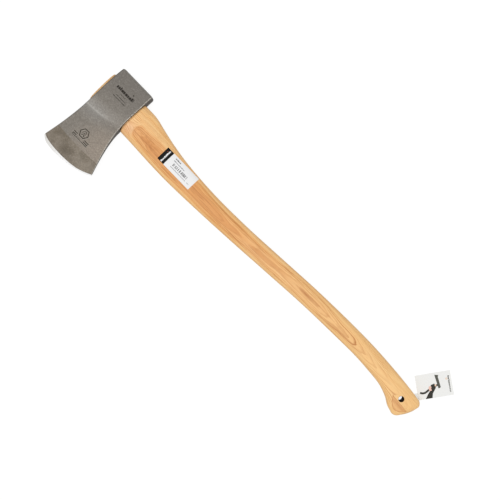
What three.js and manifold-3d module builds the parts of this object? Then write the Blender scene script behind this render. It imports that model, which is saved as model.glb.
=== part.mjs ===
// A felling axe lying on its side, in millimetres.
//
// +X runs along the haft from the head to the grip end, +Y points from the cutting edge to the
// poll, and +Z is up, through the thickness. The origin is below the middle of the eye, on the
// plane of the head's lower cheek.

import Module from "manifold-3d";
import * as THREE from "three";
import { mergeVertices } from "three/addons/utils/BufferGeometryUtils.js";

const wasm = await Module();
wasm.setup();

// ---------------------------------------------------------------------------
// Driving dimensions
// ---------------------------------------------------------------------------

const FIT = 0.3; // clearance between two pieces that bear on each other
const MID_Z = 14; // height of the plane that halves the axe's thickness

// Head: pairs of points on its top side and its underside, and its thickness between them.
const HEAD_THICKNESS = 28;
const POLL_Y = 49.8;
const POLL_ROUND = 3.8; // radius that rounds the poll's rim
const RIM_CHAMFER = 1.2;
const HEAD_STATIONS = [
  { top: [-34.8, POLL_Y - POLL_ROUND], under: [37.3, POLL_Y - POLL_ROUND], thickness: 28 },
  { top: [-36.8, 20], under: [36.8, 20], thickness: 28 },
  { top: [-37.6, -20], under: [36, -14], thickness: 28 },
  { top: [-38, -36], under: [36.6, -28], thickness: 25.5 },
  { top: [-39.8, -54], under: [37.9, -47], thickness: 17 },
  { top: [-42.4, -75], under: [42, -69], thickness: 11.2 },
  { top: [-46.8, -105], under: [49.8, -97], thickness: 7 },
  { top: [-51.6, -131.2], under: [58.6, -123.4], thickness: 4.4 },
];

// Cutting edge, from the toe to the heel.
const EDGE_POINTS = [
  [-52, -133.8],
  [-43, -140],
  [-27, -143],
  [-8, -143],
  [14, -140.6],
  [36, -135.5],
  [50, -130.4],
  [59.7, -125.1],
];
const EDGE_THICKNESS = 0.3;
const SHOULDER_BOW = 0.8; // the bevel's shoulder bows this much as far as the edge does
const BOW_START = 0.5; // share of the way to the shoulder where the bow begins
const BOW_POWER = 2.5;

// Eye: an oval hole along X that is a little wider at the top, where the wedge spreads the haft.
const EYE_TOP = { x: -60, halfLength: 31.4, halfWidth: 10.6 };
const EYE_UNDER = { x: 60, halfLength: 30.2, halfWidth: 9.8 };
const EYE_EXPONENT = 2.6;

// Haft: pairs of points on its back (poll side) and its belly, and its thickness between them.
const HAFT_STATIONS = [
  { back: [40, 31], belly: [40, -33.5], thickness: 24.4 },
  { back: [66, 30.3], belly: [66, -34.1], thickness: 25 },
  { back: [92, 24.8], belly: [92, -35], thickness: 25 },
  { back: [122, 18.8], belly: [122, -35.8], thickness: 24.6 },
  { back: [165, 12.9], belly: [165, -35.8], thickness: 24 },
  { back: [235, 9.3], belly: [235, -32.5], thickness: 23.4 },
  { back: [315, 11], belly: [315, -27.3], thickness: 23 },
  { back: [400, 16.5], belly: [400, -20.6], thickness: 22.6 },
  { back: [486, 22.4], belly: [486, -14.2], thickness: 22.4 },
  { back: [571, 25.5], belly: [571, -10.8], thickness: 22.4 },
  { back: [620, 25.9], belly: [614, -9.8], thickness: 22.4 },
  { back: [656, 24.8], belly: [648, -11.2], thickness: 22.6 },
  { back: [690, 22.8], belly: [682, -14.5], thickness: 22.8 },
  { back: [716, 20.6], belly: [704.5, -21.9], thickness: 22.8 },
  { back: [737, 18.4], belly: [718.5, -29.9], thickness: 22.8 },
  { back: [752, 16.4], belly: [730.5, -33.5], thickness: 22.8 },
];
const HAFT_EXPONENT = 2.5; // of the superellipse that the haft's section is
const SHOULDER_X = 37.6; // where the haft begins to swell out of the eye
const END_DEPTH = 10.5; // how far the grip's end rounds over
const END_INSET = { back: 6.4, belly: 11, face: 4.5 };
const END_CROWN = 3;

// Tongue, kerf and wedges
const TONGUE_X = -41;
const TONGUE_CHAMFER = 0.8;
const KERF_DEPTH_X = 20;
const WEDGE = { tipX: 12, halfWidth: 29, headThickness: 4, tipThickness: 1 };
const RING = { outer: 7, inner: 5.8, length: 16, x: TONGUE_X + 0.3 };

// Hanging hole
const HOLE = { x: 725.3, y: -4.4, radius: 5.4 };

// Product label, wrapped on the haft's upper side
const LABEL = { x0: 120, x1: 197.4, y0: -18.7, y1: 8.5, lift: 0.25, thickness: 0.25 };

// Folded hang tag: two leaves that meet at a fold, and the clear strip that holds them
const TAG_CENTRE = [754.5, 55.5];
const TAG_LENGTH = 64;
const TAG_WIDTH = 44;
const TAG_TURN = THREE.MathUtils.degToRad(-34.4); // turn of the width from +X
const TAG_BOTTOM_Z = 2.6;
const LEAF_THICKNESS = 0.3;
const LEAF_GAP = 0.3;
const FOLD_CLEARANCE = 0.3; // from each leaf's inner edge to the fold line
// The strip's places along the tag's length, from the tag's near edge: its start under the haft,
// where it leaves the haft, where it meets the tag, and its end under the tag.
const TAPE = { across: 15, width: 12, thickness: 0.2, start: -22, leaves: -13, meets: -1, end: 10 };

// Mesh resolution
const RING_POINTS = 32;
const HAFT_STEPS = 46;
const HEAD_STEPS = 22;
const HEAD_COLUMNS = 9;

// ---------------------------------------------------------------------------
// Materials
// ---------------------------------------------------------------------------

function material(color, roughness, metalness, opacity = 1) {
  return new THREE.MeshStandardMaterial({
    color,
    roughness,
    metalness,
    opacity,
    transparent: opacity < 1,
  });
}

const forgedSteel = material(0x847e78, 0.5, 0.85);
const hickory = material(0xedba7c, 0.5, 0);
const wedgeWood = material(0xd8b98c, 0.7, 0);
const ringSteel = material(0xa9abad, 0.35, 0.9);
const labelFilm = material(0xf4f4f4, 0.35, 0);
const tagCard = material(0xeeefea, 0.6, 0);
const clearFilm = material(0xdfe3df, 0.2, 0, 0.4);

// ---------------------------------------------------------------------------
// Geometry helpers
// ---------------------------------------------------------------------------

// Skins a list of closed rings with equal point counts and closes both ends with fans.
// The rings turn anticlockwise when seen from the last ring's side.
function loft(rings, endCrown = new THREE.Vector3()) {
  const count = rings[0].length;
  const positions = rings.flat().flatMap((point) => point.toArray());
  const indices = [];
  for (let ring = 0; ring < rings.length - 1; ring += 1) {
    for (let i = 0; i < count; i += 1) {
      const next = (i + 1) % count;
      const a = ring * count + i;
      const b = ring * count + next;
      indices.push(a, b, b + count, a, b + count, a + count);
    }
  }
  const addCap = (ring, centre, flip) => {
    const centreIndex = positions.length / 3;
    positions.push(...centre.toArray());
    for (let i = 0; i < count; i += 1) {
      const a = ring * count + i;
      const b = ring * count + ((i + 1) % count);
      indices.push(centreIndex, ...(flip ? [b, a] : [a, b]));
    }
  };
  const last = rings.length - 1;
  addCap(0, middle(rings[0]), true);
  addCap(last, middle(rings[last]).add(endCrown), false);
  const geometry = new THREE.BufferGeometry();
  geometry.setAttribute("position", new THREE.Float32BufferAttribute(positions, 3));
  geometry.setIndex(indices);
  return geometry;
}

// A closed skin over a grid of points, thickened upwards.
function sheet(grid, thickness) {
  const rows = grid.length;
  const columns = grid[0].length;
  const lower = grid.flat();
  const upper = lower.map((point) => point.clone().setZ(point.z + thickness));
  const indices = [];
  const quad = (a, b, c, d) => indices.push(a, b, c, a, c, d);
  const at = (row, column) => row * columns + column;
  for (let row = 0; row < rows - 1; row += 1) {
    for (let column = 0; column < columns - 1; column += 1) {
      const corners = [
        at(row, column),
        at(row + 1, column),
        at(row + 1, column + 1),
        at(row, column + 1),
      ];
      quad(...corners.map((corner) => corner + lower.length));
      quad(...corners.reverse());
    }
  }
  const rim = [];
  for (let row = 0; row < rows - 1; row += 1) {
    rim.push(at(row, 0));
  }
  for (let column = 0; column < columns - 1; column += 1) {
    rim.push(at(rows - 1, column));
  }
  for (let row = rows - 1; row > 0; row -= 1) {
    rim.push(at(row, columns - 1));
  }
  for (let column = columns - 1; column > 0; column -= 1) {
    rim.push(at(0, column));
  }
  rim.forEach((a, i) => {
    const b = rim[(i + 1) % rim.length];
    quad(a, b, b + lower.length, a + lower.length);
  });
  const geometry = new THREE.BufferGeometry();
  const positions = [...lower, ...upper].flatMap((point) => point.toArray());
  geometry.setAttribute("position", new THREE.Float32BufferAttribute(positions, 3));
  geometry.setIndex(indices);
  return geometry;
}

function middle(points) {
  const sum = new THREE.Vector3();
  points.forEach((point) => sum.add(point));
  return sum.divideScalar(points.length);
}

// A superellipse between two points in plan, standing across the mid-plane.
function ovalRing(first, second, halfThickness, exponent) {
  const centre = new THREE.Vector3().addVectors(first, second).multiplyScalar(0.5);
  const reach = new THREE.Vector3().subVectors(first, second).multiplyScalar(0.5);
  const points = [];
  for (let i = 0; i < RING_POINTS; i += 1) {
    const angle = (i / RING_POINTS) * 2 * Math.PI;
    const across = signedPower(Math.cos(angle), 2 / exponent);
    const up = signedPower(Math.sin(angle), 2 / exponent);
    const point = centre.clone().addScaledVector(reach, across);
    point.z = MID_Z + up * halfThickness;
    points.push(point);
  }
  return points;
}

function signedPower(value, power) {
  return Math.sign(value) * Math.abs(value) ** power;
}

function toSolid(geometry) {
  const bare = geometry.clone();
  bare.deleteAttribute("normal");
  bare.deleteAttribute("uv");
  const merged = mergeVertices(bare, 1e-4);
  return new wasm.Manifold(
    new wasm.Mesh({
      numProp: 3,
      vertProperties: new Float32Array(merged.attributes.position.array),
      triVerts: new Uint32Array(merged.index.array),
    }),
  );
}

function toGeometry(solid) {
  const mesh = solid.getMesh();
  const geometry = new THREE.BufferGeometry();
  geometry.setAttribute("position", new THREE.Float32BufferAttribute(mesh.vertProperties, 3));
  geometry.setIndex(Array.from(mesh.triVerts));
  return geometry;
}

function cut(geometry, ...cutters) {
  const solid = cutters.reduce((left, cutter) => left.subtract(toSolid(cutter)), toSolid(geometry));
  return toGeometry(solid);
}

function part(name, geometry, partMaterial) {
  const mesh = new THREE.Mesh(geometry, partMaterial);
  mesh.name = name;
  return mesh;
}

// ---------------------------------------------------------------------------
// Head
// ---------------------------------------------------------------------------

const edgeCurve = new THREE.SplineCurve(EDGE_POINTS.map(([x, y]) => new THREE.Vector2(x, y)));
const topSide = new THREE.CatmullRomCurve3(
  HEAD_STATIONS.map(({ top, thickness }) => new THREE.Vector3(...top, thickness)),
);
const underside = new THREE.CatmullRomCurve3(
  HEAD_STATIONS.map(({ under, thickness }) => new THREE.Vector3(...under, thickness)),
);

// How far the cutting edge bows out from the straight line between the toe and the heel.
function edgeBow(u) {
  const toe = edgeCurve.getPoint(0);
  const heel = edgeCurve.getPoint(1);
  return edgeCurve.getPoint(u).sub(toe.lerp(heel, u));
}

// One closed ring round the head, from a point on its top side to one on its underside.
function headRing(top, under, thickness, bow, chamfer) {
  const half = thickness / 2;
  const width = top.distanceTo(under);
  const row = [];
  for (let i = 0; i < HEAD_COLUMNS; i += 1) {
    const inner = i / (HEAD_COLUMNS - 1);
    const u = THREE.MathUtils.lerp(chamfer / width, 1 - chamfer / width, inner);
    const point = top.clone().lerp(under, u);
    const shift = edgeBow(inner).multiplyScalar(bow);
    row.push(new THREE.Vector3(point.x + shift.x, point.y + shift.y, half));
  }
  const wall = (end) => new THREE.Vector3(end.x, end.y, half - Math.min(chamfer, half / 2));
  const upper = [wall(top), ...row, wall(under)];
  const lower = upper.map((point) => new THREE.Vector3(point.x, point.y, -point.z)).reverse();
  const ring = [...upper, ...lower].reverse();
  ring.forEach((point) => {
    point.z += MID_Z;
  });
  return ring;
}

function headRings() {
  const rings = [];
  for (let step = 0; step <= HEAD_STEPS; step += 1) {
    const s = step / HEAD_STEPS;
    const top = topSide.getPoint(s);
    const under = underside.getPoint(s);
    const thickness = Math.min(top.z, HEAD_THICKNESS);
    const ramp = Math.max(0, (s - BOW_START) / (1 - BOW_START)) ** BOW_POWER;
    const chamfer = Math.min(RIM_CHAMFER, thickness / 6);
    rings.push(headRing(top.setZ(0), under.setZ(0), thickness, SHOULDER_BOW * ramp, chamfer));
  }
  return rings;
}

// A ring on the poll's rounded rim, from the flat face (angle 0) towards the first station.
function pollRing(angle) {
  const [first] = HEAD_STATIONS;
  const inset = POLL_ROUND * (1 - Math.sin(angle));
  const y = POLL_Y - POLL_ROUND * (1 - Math.cos(angle));
  const top = new THREE.Vector3(first.top[0] + inset, y, 0);
  const under = new THREE.Vector3(first.under[0] - inset, y, 0);
  return headRing(top, under, HEAD_THICKNESS - 2 * inset, 0, RIM_CHAMFER);
}

function axeHead() {
  const pollRings = [0, Math.PI / 6, Math.PI / 3].map(pollRing);
  const toe = new THREE.Vector3(...EDGE_POINTS[0], 0);
  const heel = new THREE.Vector3(...EDGE_POINTS.at(-1), 0);
  const edgeRing = headRing(toe, heel, EDGE_THICKNESS, 1, EDGE_THICKNESS / 6);
  const blank = loft([...pollRings, ...headRings(), edgeRing]);
  return cut(blank, eyeSolid(0, EYE_TOP.x, EYE_UNDER.x));
}

// ---------------------------------------------------------------------------
// Eye and tongue
// ---------------------------------------------------------------------------

// The eye's section at a given x, made smaller all round by an inset.
function eyeRing(x, inset) {
  const share = (x - EYE_TOP.x) / (EYE_UNDER.x - EYE_TOP.x);
  const halfLength = THREE.MathUtils.lerp(EYE_TOP.halfLength, EYE_UNDER.halfLength, share) - inset;
  const halfWidth = THREE.MathUtils.lerp(EYE_TOP.halfWidth, EYE_UNDER.halfWidth, share) - inset;
  const back = new THREE.Vector3(x, halfLength, 0);
  const belly = new THREE.Vector3(x, -halfLength, 0);
  return ovalRing(back, belly, halfWidth, EYE_EXPONENT);
}

function eyeSolid(inset, x0, x1) {
  return loft([eyeRing(x0, inset), eyeRing(x1, inset)]);
}

// ---------------------------------------------------------------------------
// Haft
// ---------------------------------------------------------------------------

const haftBack = new THREE.CatmullRomCurve3(
  HAFT_STATIONS.map(({ back, thickness }) => new THREE.Vector3(...back, thickness)),
);
const haftBelly = new THREE.CatmullRomCurve3(
  HAFT_STATIONS.map(({ belly, thickness }) => new THREE.Vector3(...belly, thickness)),
);

function haftStation(t) {
  const back = haftBack.getPoint(t);
  const belly = haftBelly.getPoint(t);
  const halfThickness = back.z / 2;
  return { back: back.setZ(0), belly: belly.setZ(0), halfThickness };
}

// Half the haft's thickness at a point in plan. The point's station is the one whose line from
// back to belly passes through it.
function haftHalfHeight(x, y) {
  let low = 0;
  let high = 1;
  for (let i = 0; i < 30; i += 1) {
    const t = (low + high) / 2;
    const { back, belly } = haftStation(t);
    const isBeyond = (x - back.x) * (back.y - belly.y) > (y - back.y) * (back.x - belly.x);
    if (isBeyond) {
      low = t;
    } else {
      high = t;
    }
  }
  const { back, belly, halfThickness } = haftStation(low);
  const v = Math.abs((2 * (y - belly.y)) / (back.y - belly.y) - 1);
  return halfThickness * (1 - v ** HAFT_EXPONENT) ** (1 / HAFT_EXPONENT);
}

// Rings that round the grip's end over, from the last station to the flat end face.
function gripEndRings() {
  const { back, belly, halfThickness } = haftStation(1);
  const along = new THREE.Vector3().subVectors(belly, back).normalize();
  const outward = new THREE.Vector3(-along.y, along.x, 0);
  const rings = [];
  const steps = 5;
  for (let step = 1; step <= steps; step += 1) {
    const angle = (step / steps) * (Math.PI / 2);
    const inset = 1 - Math.cos(angle);
    const out = END_DEPTH * Math.sin(angle);
    const first = back.clone().addScaledVector(along, END_INSET.back * inset);
    const second = belly.clone().addScaledVector(along, -END_INSET.belly * inset);
    first.addScaledVector(outward, out);
    second.addScaledVector(outward, out);
    rings.push(ovalRing(first, second, halfThickness - END_INSET.face * inset, HAFT_EXPONENT));
  }
  return { rings, crown: outward.clone().multiplyScalar(END_CROWN) };
}

function haft() {
  const rings = [
    eyeRing(TONGUE_X, FIT + TONGUE_CHAMFER),
    eyeRing(TONGUE_X + TONGUE_CHAMFER, FIT),
    eyeRing(SHOULDER_X, FIT),
  ];
  for (let step = 0; step <= HAFT_STEPS; step += 1) {
    const { back, belly, halfThickness } = haftStation(step / HAFT_STEPS);
    rings.push(ovalRing(back, belly, halfThickness, HAFT_EXPONENT));
  }
  const end = gripEndRings();
  const blank = loft([...rings, ...end.rings], end.crown);
  return cut(blank, hangingHole(), wedgeSolid(FIT), ringSolid(FIT));
}

function hangingHole() {
  const bore = new THREE.CylinderGeometry(HOLE.radius, HOLE.radius, 4 * MID_Z, 24);
  bore.rotateX(Math.PI / 2);
  return bore.translate(HOLE.x, HOLE.y, MID_Z);
}

// ---------------------------------------------------------------------------
// Wedges
// ---------------------------------------------------------------------------

// The wooden wedge, or with a clearance the kerf that it sits in.
function wedgeSolid(clearance) {
  const isKerf = clearance > 0;
  const headX = isKerf ? TONGUE_X - 1 : TONGUE_X;
  const tipX = isKerf ? KERF_DEPTH_X : WEDGE.tipX;
  const halfHead = WEDGE.headThickness / 2 + clearance;
  const halfTip = WEDGE.tipThickness / 2 + clearance;
  const halfWidth = isKerf ? 2 * WEDGE.halfWidth : WEDGE.halfWidth;
  const profile = new THREE.Shape([
    new THREE.Vector2(headX, -halfHead),
    new THREE.Vector2(tipX, -halfTip),
    new THREE.Vector2(tipX, halfTip),
    new THREE.Vector2(headX, halfHead),
  ]);
  const blank = new THREE.ExtrudeGeometry(profile, { depth: 2 * halfWidth, bevelEnabled: false });
  blank.rotateX(Math.PI / 2);
  return blank.translate(0, halfWidth, MID_Z);
}

// The steel ring, or with a clearance the groove that it is driven into.
function ringSolid(clearance) {
  const startX = clearance > 0 ? TONGUE_X - 1 : RING.x;
  const length = RING.x + RING.length + clearance - startX;
  const outer = RING.outer + clearance;
  const inner = RING.inner - clearance;
  const profile = [
    new THREE.Vector2(inner, 0),
    new THREE.Vector2(outer, 0),
    new THREE.Vector2(outer, length),
    new THREE.Vector2(inner, length),
    new THREE.Vector2(inner, 0),
  ];
  const ring = new THREE.LatheGeometry(profile, RING_POINTS);
  ring.rotateZ(-Math.PI / 2);
  return ring.translate(startX, 0, MID_Z);
}

// ---------------------------------------------------------------------------
// Product label
// ---------------------------------------------------------------------------

// A skin that follows the haft's upper side.
function productLabel() {
  const lengthSteps = 10;
  const widthSteps = 20;
  const grid = [];
  for (let i = 0; i <= lengthSteps; i += 1) {
    const x = THREE.MathUtils.lerp(LABEL.x0, LABEL.x1, i / lengthSteps);
    const row = [];
    for (let j = 0; j <= widthSteps; j += 1) {
      const y = THREE.MathUtils.lerp(LABEL.y0, LABEL.y1, j / widthSteps);
      row.push(new THREE.Vector3(x, y, MID_Z + haftHalfHeight(x, y) + LABEL.lift));
    }
    grid.push(row);
  }
  return sheet(grid, LABEL.thickness);
}

// ---------------------------------------------------------------------------
// Hang tag, in a group that is turned with it: +X along its width, +Y along its length
// ---------------------------------------------------------------------------

function tagLeaf(bottomZ) {
  const width = TAG_WIDTH - FOLD_CLEARANCE;
  const leaf = new THREE.BoxGeometry(width, TAG_LENGTH, LEAF_THICKNESS);
  return leaf.translate(FOLD_CLEARANCE / 2, 0, bottomZ + LEAF_THICKNESS / 2);
}

// The strip follows the haft's underside, then bridges down to the tag.
function tagTape(tag) {
  const lengthSteps = 16;
  const widthSteps = 4;
  const tagZ = TAG_BOTTOM_Z - FIT;
  const nearEdge = -TAG_LENGTH / 2;
  const grid = [];
  for (let j = 0; j <= widthSteps; j += 1) {
    const across = TAPE.across + (j / widthSteps - 0.5) * TAPE.width;
    const row = [];
    for (let i = 0; i <= lengthSteps; i += 1) {
      const along = THREE.MathUtils.lerp(TAPE.start, TAPE.end, i / lengthSteps);
      const held = new THREE.Vector3(across, nearEdge + Math.min(along, TAPE.leaves), 0);
      tag.localToWorld(held);
      const haftZ = MID_Z - haftHalfHeight(held.x, held.y) - FIT;
      const share = THREE.MathUtils.smoothstep(along, TAPE.leaves, TAPE.meets);
      const z = THREE.MathUtils.lerp(haftZ, tagZ, share) - TAPE.thickness;
      row.push(new THREE.Vector3(across, nearEdge + along, z));
    }
    grid.push(row);
  }
  return sheet(grid, TAPE.thickness);
}

function hangTag() {
  const tag = new THREE.Group();
  const frontZ = TAG_BOTTOM_Z + LEAF_THICKNESS + LEAF_GAP;
  tag.position.set(...TAG_CENTRE, 0);
  tag.rotation.z = TAG_TURN;
  tag.updateMatrixWorld();
  tag.add(part("tag_back_leaf", tagLeaf(TAG_BOTTOM_Z), tagCard));
  tag.add(part("tag_front_leaf", tagLeaf(frontZ), tagCard.clone()));
  tag.add(part("tag_tape", tagTape(tag), clearFilm));
  return tag;
}

// ---------------------------------------------------------------------------
// Assembly
// ---------------------------------------------------------------------------

const group = new THREE.Group();
group.add(part("axe_head", axeHead(), forgedSteel));
group.add(part("haft", haft(), hickory));
group.add(part("kerf_wedge", cut(wedgeSolid(0), ringSolid(FIT)), wedgeWood));
group.add(part("ring_wedge", ringSolid(0), ringSteel));
group.add(part("product_label", productLabel(), labelFilm));
group.add(hangTag());

export default group;
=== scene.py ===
"""Looks for the felling axe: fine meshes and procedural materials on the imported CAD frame.

Shapes are worked out in millimetres in the row frame (+X along the haft, +Y to the poll, +Z up)
and become metres when a mesh is made. The main dimensions repeat the CAD model's, except that
the hanging hole is 0.3 mm tighter with a rounded rim, and the tag's cover stands up a little.
"""

import math
import random

import bmesh
import bpy
from mathutils import Matrix, Vector
from mathutils.bvhtree import BVHTree


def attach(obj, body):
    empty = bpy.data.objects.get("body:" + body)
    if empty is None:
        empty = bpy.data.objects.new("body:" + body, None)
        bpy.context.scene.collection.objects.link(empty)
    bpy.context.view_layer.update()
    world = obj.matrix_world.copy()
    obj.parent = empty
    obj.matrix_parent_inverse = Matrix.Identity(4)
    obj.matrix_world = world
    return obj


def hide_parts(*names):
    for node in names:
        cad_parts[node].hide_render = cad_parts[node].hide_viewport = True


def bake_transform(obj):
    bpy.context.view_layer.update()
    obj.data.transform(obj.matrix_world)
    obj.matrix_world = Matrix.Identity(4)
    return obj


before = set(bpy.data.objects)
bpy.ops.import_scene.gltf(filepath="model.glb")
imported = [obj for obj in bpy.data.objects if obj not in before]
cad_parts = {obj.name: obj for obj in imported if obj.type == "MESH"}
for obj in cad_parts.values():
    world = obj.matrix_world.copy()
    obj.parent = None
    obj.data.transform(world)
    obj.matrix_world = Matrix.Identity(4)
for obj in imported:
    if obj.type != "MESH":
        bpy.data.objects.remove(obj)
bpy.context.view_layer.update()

# ---- Dimensions, in millimetres ----

METRES = 0.001
FIT = 0.3
MID_Z = 14

# Head: points (x, y, thickness) down its top side and its underside, from the poll to the bevel.
HEAD_THICKNESS = 28
POLL_Y = 49.8
POLL_ROUND = 3.8
RIM_ROUND = 1.5
TOP_SIDE = [
    (-34.8, POLL_Y - POLL_ROUND, 28), (-36.8, 20, 28), (-37.6, -20, 28), (-38, -36, 25.5),
    (-39.8, -54, 17), (-42.4, -75, 11.2), (-46.8, -105, 7), (-51.6, -131.2, 4.4),
]
UNDERSIDE = [
    (37.3, POLL_Y - POLL_ROUND, 28), (36.8, 20, 28), (36, -14, 28), (36.6, -28, 25.5),
    (37.9, -47, 17), (42, -69, 11.2), (49.8, -97, 7), (58.6, -123.4, 4.4),
]
BEVEL_SHOULDER = [
    (-51.6, -131.2, 0), (-43, -134.8, 0), (-27, -137.4, 0), (-8, -138.2, 0), (12, -137.4, 0),
    (32, -134.2, 0), (46, -129.3, 0), (58.6, -123.4, 0),
]
CUTTING_EDGE = [
    (-52, -133.8, 0), (-43, -140, 0), (-27, -143, 0), (-8, -143, 0), (14, -140.6, 0),
    (36, -135.5, 0), (50, -130.4, 0), (59.7, -125.1, 0),
]
EDGE_THICKNESS = 0.3
BOW_START = 0.5
BOW_POWER = 2.5

# Eye
EYE_TOP = {"x": -60, "half_length": 31.4, "half_width": 10.6}
EYE_UNDER = {"x": 60, "half_length": 30.2, "half_width": 9.8}
EYE_EXPONENT = 2.6
EYE_FLARE = [(-40, -2.25), (-36.6, -0.2), (-35.6, 0.5)]  # (x, inset) of its widening at the top

# Haft: points (x, y, thickness) on its back and its belly.
HAFT_BACK = [
    (40, 31, 24.4), (66, 30.3, 25), (92, 24.8, 25), (122, 18.8, 24.6), (165, 12.9, 24),
    (235, 9.3, 23.4), (315, 11, 23), (400, 16.5, 22.6), (486, 22.4, 22.4), (571, 25.5, 22.4),
    (620, 25.9, 22.4), (656, 24.8, 22.6), (690, 22.8, 22.8), (716, 20.6, 22.8), (737, 18.4, 22.8),
    (752, 16.4, 22.8),
]
HAFT_BELLY = [
    (40, -33.5, 24.4), (66, -34.1, 25), (92, -35, 25), (122, -35.8, 24.6), (165, -35.8, 24),
    (235, -32.5, 23.4), (315, -27.3, 23), (400, -20.6, 22.6), (486, -14.2, 22.4),
    (571, -10.8, 22.4), (614, -9.8, 22.4), (648, -11.2, 22.6), (682, -14.5, 22.8),
    (704.5, -21.9, 22.8), (718.5, -29.9, 22.8), (730.5, -33.5, 22.8),
]
HAFT_EXPONENT = 2.5
SHOULDER_X = 37.6
END_DEPTH = 10.5
END_INSET = {"back": 6.4, "belly": 11, "face": 4.5}
END_CROWN = 3
END_FACE_SHARES = (0.85, 0.65, 0.45, 0.25, 0.08)
TONGUE_X = -41
TONGUE_ROUND = 0.8
KERF_DEPTH_X = 20
WEDGE = {"tip_x": 12, "half_width": 29, "head": 4, "tip": 1}
RING = {"x": -40.7, "outer": 7, "inner": 5.8, "length": 16, "soft": 0.25}
HOLE = {"x": 725.3, "y": -4.4, "radius": 5.1, "round": 0.4, "half_depth": 11.3}

# Label, with its black header at the end near the head
LABEL = {"x0": 120, "x1": 197.4, "y0": -18.7, "y1": 8.5}
LABEL_HEADER_X = 134.9
LABEL_FLOAT = 0.06
LABEL_THICKNESS = 0.14
LABEL_LIFT = 0.24
HEADER_LIFT = 0.28

# Hang tag, in its own turned frame: +X along its width, +Y along its length
TAG_CENTRE = (754.5, 55.5)
TAG_LENGTH = 64
TAG_WIDTH = 44
TAG_TURN = math.radians(-34.4)
TAG_BOTTOM_Z = 2.6
LEAF_THICKNESS = 0.3
LEAF_GAP = 0.3
FOLD_CLEARANCE = 0.3
COVER_LIFT = 0.7
TAPE = {"across": 15, "width": 12, "start": -22, "leaves": -13, "meets": -1, "end": 10}
TAPE_GAP = 0.1
TAPE_THICKNESS = 0.12

# The studio is a little brighter than 1, so a surface's albedo is this share of how it looks.
MATT_SHARE = 0.93
STEEL_SHARE = 0.79
BRIGHT_SHARE = 1

# Mesh resolution
RING_POINTS = 96
HEAD_STEPS = 150
HEAD_COLUMNS = 96
RIM_STEPS = 5
WALL_STEPS = 3
HAFT_STEPS = 420
TONGUE_STEPS = 24
SHOULDER_STEPS = 6
END_STEPS = 16
BEVEL_STEPS = 8
CIRCLE_SIDES = 64
FOLD_STEPS = 14
POLL_STEPS = 6
ROUND_STEPS = 3

# Edges sharper than this, in degrees, aren't shaded smooth.
USUAL_SHARP = 35
HEAD_SHARP = 25
HAFT_SHARP = 40
CURVED_SHARP = 50
DECAL_SHARP = 60


# ---- Curves and sections ----


def lerp(a, b, share):
    return a + (b - a) * share


def smooth_curve(points, share):
    """A point at share (0 to 1) of a centripetal Catmull-Rom curve through points."""
    spans = len(points) - 1
    reached = min(max(share, 0), 1) * spans
    i = min(int(reached), spans - 1)
    w = reached - i
    p1, p2 = Vector(points[i]), Vector(points[i + 1])
    p0 = Vector(points[i - 1]) if i > 0 else 2 * p1 - p2
    p3 = Vector(points[i + 2]) if i + 2 <= spans else 2 * p2 - p1
    d0, d1, d2 = (math.sqrt((b - a).length) for a, b in ((p0, p1), (p1, p2), (p2, p3)))
    m1 = ((p1 - p0) / d0 - (p2 - p0) / (d0 + d1) + (p2 - p1) / d1) * d1
    m2 = ((p2 - p1) / d1 - (p3 - p1) / (d1 + d2) + (p3 - p2) / d2) * d1
    start = (2 * w**3 - 3 * w**2 + 1) * p1 + (w**3 - 2 * w**2 + w) * m1
    return start + (3 * w**2 - 2 * w**3) * p2 + (w**3 - w**2) * m2


def quarter_turn(steps):
    """(1 - cosine, sine) at even angles from 0 to 90 degrees."""
    angles = [math.radians(90 * step / steps) for step in range(steps + 1)]
    return [(1 - math.cos(angle), math.sin(angle)) for angle in angles]


def circle(steps):
    """(cosine, sine) at even angles all round."""
    angles = [i / steps * 2 * math.pi for i in range(steps)]
    return [(math.cos(angle), math.sin(angle)) for angle in angles]


def signed_power(value, power):
    return math.copysign(abs(value) ** power, value)


def oval_ring(first, second, half_thickness, exponent):
    """A superellipse between two points in plan, standing across the mid-plane."""
    centre = (first + second) / 2
    reach = (first - second) / 2
    ring = []
    for cosine, sine in circle(RING_POINTS):
        point = centre + reach * signed_power(cosine, 2 / exponent)
        point.z = MID_Z + half_thickness * signed_power(sine, 2 / exponent)
        ring.append(point)
    return ring


def eye_ring(x, inset):
    """The eye's section at a given x, made smaller all round by inset."""
    share = (x - EYE_TOP["x"]) / (EYE_UNDER["x"] - EYE_TOP["x"])
    sizes = ("half_length", "half_width")
    length, width = (lerp(EYE_TOP[size], EYE_UNDER[size], share) - inset for size in sizes)
    return oval_ring(Vector((x, length, 0)), Vector((x, -length, 0)), width, EYE_EXPONENT)


# ---- Mesh helpers ----


def ring_faces(ring_count, point_count):
    faces = []
    for ring in range(ring_count - 1):
        for i in range(point_count):
            j = (i + 1) % point_count
            a = ring * point_count
            b = a + point_count
            faces.append((a + i, a + j, b + j, b + i))
    return faces


def loft(rings):
    """Points and faces of a closed skin over rings of equal size, with a fan at each end."""
    count = len(rings[0])
    points = [point for ring in rings for point in ring]
    faces = ring_faces(len(rings), count)
    for ring in (0, len(rings) - 1):
        centre = sum(rings[ring], Vector()) / count
        points.append(centre)
        for i in range(count):
            a = ring * count + i
            b = ring * count + (i + 1) % count
            faces.append((len(points) - 1, a, b))
    return points, faces


def zipped_loft(rings):
    """Like loft, for rings whose upper half mirrors the lower: each end is closed by strips."""
    count = len(rings[0])
    faces = ring_faces(len(rings), count)
    for ring in (0, len(rings) - 1):
        a = ring * count
        for i in range(count // 2 - 1):
            faces.append((a + i, a + i + 1, a + count - 2 - i, a + count - 1 - i))
    return [point for ring in rings for point in ring], faces


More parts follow.
